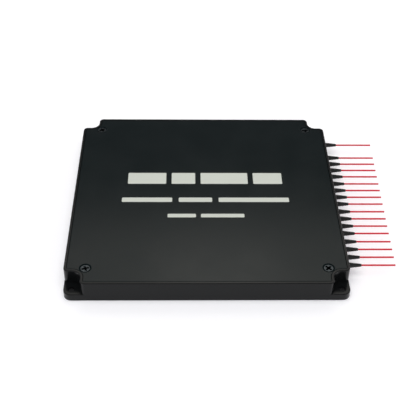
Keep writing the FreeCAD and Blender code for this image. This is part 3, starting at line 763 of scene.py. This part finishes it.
class SPLITTER_OT_stage(bpy.types.Operator):
    """Set up the camera, the white floor and the soft lamps"""

    bl_idname = "splitter.stage"
    bl_label = "Stage"

    def execute(self, context):
        stage = context.scene.splitter_stage
        context.scene.view_settings.view_transform = "Standard"
        self.camera(context, stage)
        self.floor(stage)
        self.sky(context, stage)
        self.softbox(
            "softbox", stage.softbox_power, place=(0.05, 0.88, 1.10), size=(0.82, 0.60))
        self.softbox(
            "softbox_core", stage.core_power, place=(0.06, 0.81, 1.08), size=(0.24, 0.50))
        self.overhead(stage.overhead, place=(-0.10, -0.35, 1.50), spread=math.radians(60.0))
        return {"FINISHED"}

    def camera(self, context, stage):
        """The camera, turned from +Y by its yaw, pitch and roll."""
        camera = bpy.data.objects.new("camera", bpy.data.cameras.new("camera"))
        context.scene.collection.objects.link(camera)
        camera.data.sensor_width = 36.0
        camera.data.lens = stage.camera_lens
        camera.data.clip_start = 0.01
        camera.matrix_world = (
            Matrix.Translation(stage.camera_place)
            @ Matrix.Rotation(-stage.camera_yaw, 4, "Z")
            @ Matrix.Rotation(math.pi / 2 - stage.camera_pitch, 4, "X")
            @ Matrix.Rotation(stage.camera_roll, 4, "Z")
        )
        context.scene.camera = camera

    def floor(self, stage):
        """A wide pale plane just under the case, lifted to white where it is seen."""
        width, clearance = 20.0, 0.02 * MM
        deselect_all()
        bpy.ops.mesh.primitive_plane_add(size=width, location=(0, 0, -clearance))
        floor = settle(begin("floor"))
        material, tree, shader = new_material(
            "floor_pale", (stage.floor_colour,) * 3, roughness=0.9)
        shader.inputs["Specular IOR Level"].default_value = 0.0
        shader.inputs["Emission Color"].default_value = (*COOL_WHITE, 1.0)
        path = tree.nodes.new("ShaderNodeLightPath")
        seen = maths(tree, "ADD", path.outputs["Is Camera Ray"], path.outputs["Is Glossy Ray"])
        seen = maths(tree, "ADD", seen, path.outputs["Is Transmission Ray"])
        lift = maths(tree, "MULTIPLY", seen, stage.floor_lift)
        tree.links.new(lift, shader.inputs["Emission Strength"])
        floor.data.materials.append(material)

    def sky(self, context, stage):
        """A pale wall all round, up to a low height, under a dim ceiling.

        Behind the scene, and through glass, all of it is as white as the wall.
        """
        fade_width = math.radians(12.0)
        world = bpy.data.worlds.new("studio")
        world.use_nodes = True
        tree = world.node_tree
        background = tree.nodes["Background"]
        background.inputs["Color"].default_value = (1.0, 1.0, 1.0, 1.0)
        direction = tree.nodes.new("ShaderNodeTexCoord")
        split = tree.nodes.new("ShaderNodeSeparateXYZ")
        tree.links.new(direction.outputs["Generated"], split.inputs[0])
        heights = math.sin(stage.wall_top), math.sin(stage.wall_top + fade_width)
        fade = map_range(
            tree, split.outputs["Z"], heights, (stage.horizon, stage.ceiling), "SMOOTHSTEP")
        path = tree.nodes.new("ShaderNodeLightPath")
        seen = maths(
            tree, "ADD", path.outputs["Is Camera Ray"], path.outputs["Is Transmission Ray"])
        strength = maths(tree, "MAXIMUM", fade, seen)
        tree.links.new(strength, background.inputs["Strength"])
        context.scene.world = world

    def softbox(self, name, power, place, size):
        """A flat rectangular lamp that faces straight down."""
        lamp = bpy.data.lights.new(name, "AREA")
        lamp.shape = "RECTANGLE"
        lamp.size, lamp.size_y = size
        lamp.energy = power
        lamp.color = WARM_WHITE
        holder = bpy.data.objects.new(name, lamp)
        bpy.context.scene.collection.objects.link(holder)
        holder.location = place

    def overhead(self, strength, place, spread):
        """Broad even light from above, the same over the whole floor and unseen in gloss."""
        lamp = bpy.data.lights.new("overhead", "SUN")
        lamp.angle = spread
        lamp.energy = strength
        holder = bpy.data.objects.new("overhead", lamp)
        bpy.context.scene.collection.objects.link(holder)
        holder.location = place
        holder.rotation_euler = (-Vector(place)).to_track_quat("-Z", "Y").to_euler()
        holder.visible_glossy = False


# ---------------------------------------------------------------- panel and registration


OPERATORS = (
    SPLITTER_OT_stage,
    SPLITTER_OT_case,
    SPLITTER_OT_print,
    SPLITTER_OT_screws,
    SPLITTER_OT_boots,
    SPLITTER_OT_tails,
    SPLITTER_OT_inside,
)
GROUPS = {
    "splitter_case": SplitterCase,
    "splitter_print": SplitterPrint,
    "splitter_fasteners": SplitterFasteners,
    "splitter_ports": SplitterPorts,
    "splitter_stage": SplitterStage,
}


class SPLITTER_PT_looks(bpy.types.Panel):
    """Sizes, colours and steps of the fibre splitter"""

    bl_idname = "SPLITTER_PT_looks"
    bl_label = "Fibre Splitter"
    bl_space_type = "VIEW_3D"
    bl_region_type = "UI"
    bl_category = "Splitter"

    def draw(self, context):
        for name, group in GROUPS.items():
            column = self.layout.column(align=True)
            settings = getattr(context.scene, name)
            for field in group.__annotations__:
                column.prop(settings, field)
        for operator in OPERATORS:
            self.layout.operator(operator.bl_idname)


def register():
    for item in (*GROUPS.values(), *OPERATORS, SPLITTER_PT_looks):
        bpy.utils.register_class(item)
    for name, group in GROUPS.items():
        setattr(bpy.types.Scene, name, bpy.props.PointerProperty(type=group))


def unregister():
    for name in GROUPS:
        delattr(bpy.types.Scene, name)
    for item in (SPLITTER_PT_looks, *reversed(OPERATORS), *GROUPS.values()):
        bpy.utils.unregister_class(item)


def main():
    register()
    bpy.ops.splitter.stage()
    bpy.ops.splitter.case()
    bpy.ops.splitter.print()
    bpy.ops.splitter.screws()
    bpy.ops.splitter.boots()
    bpy.ops.splitter.tails()
    bpy.ops.splitter.inside()


if __name__ == "__main__":
    main()
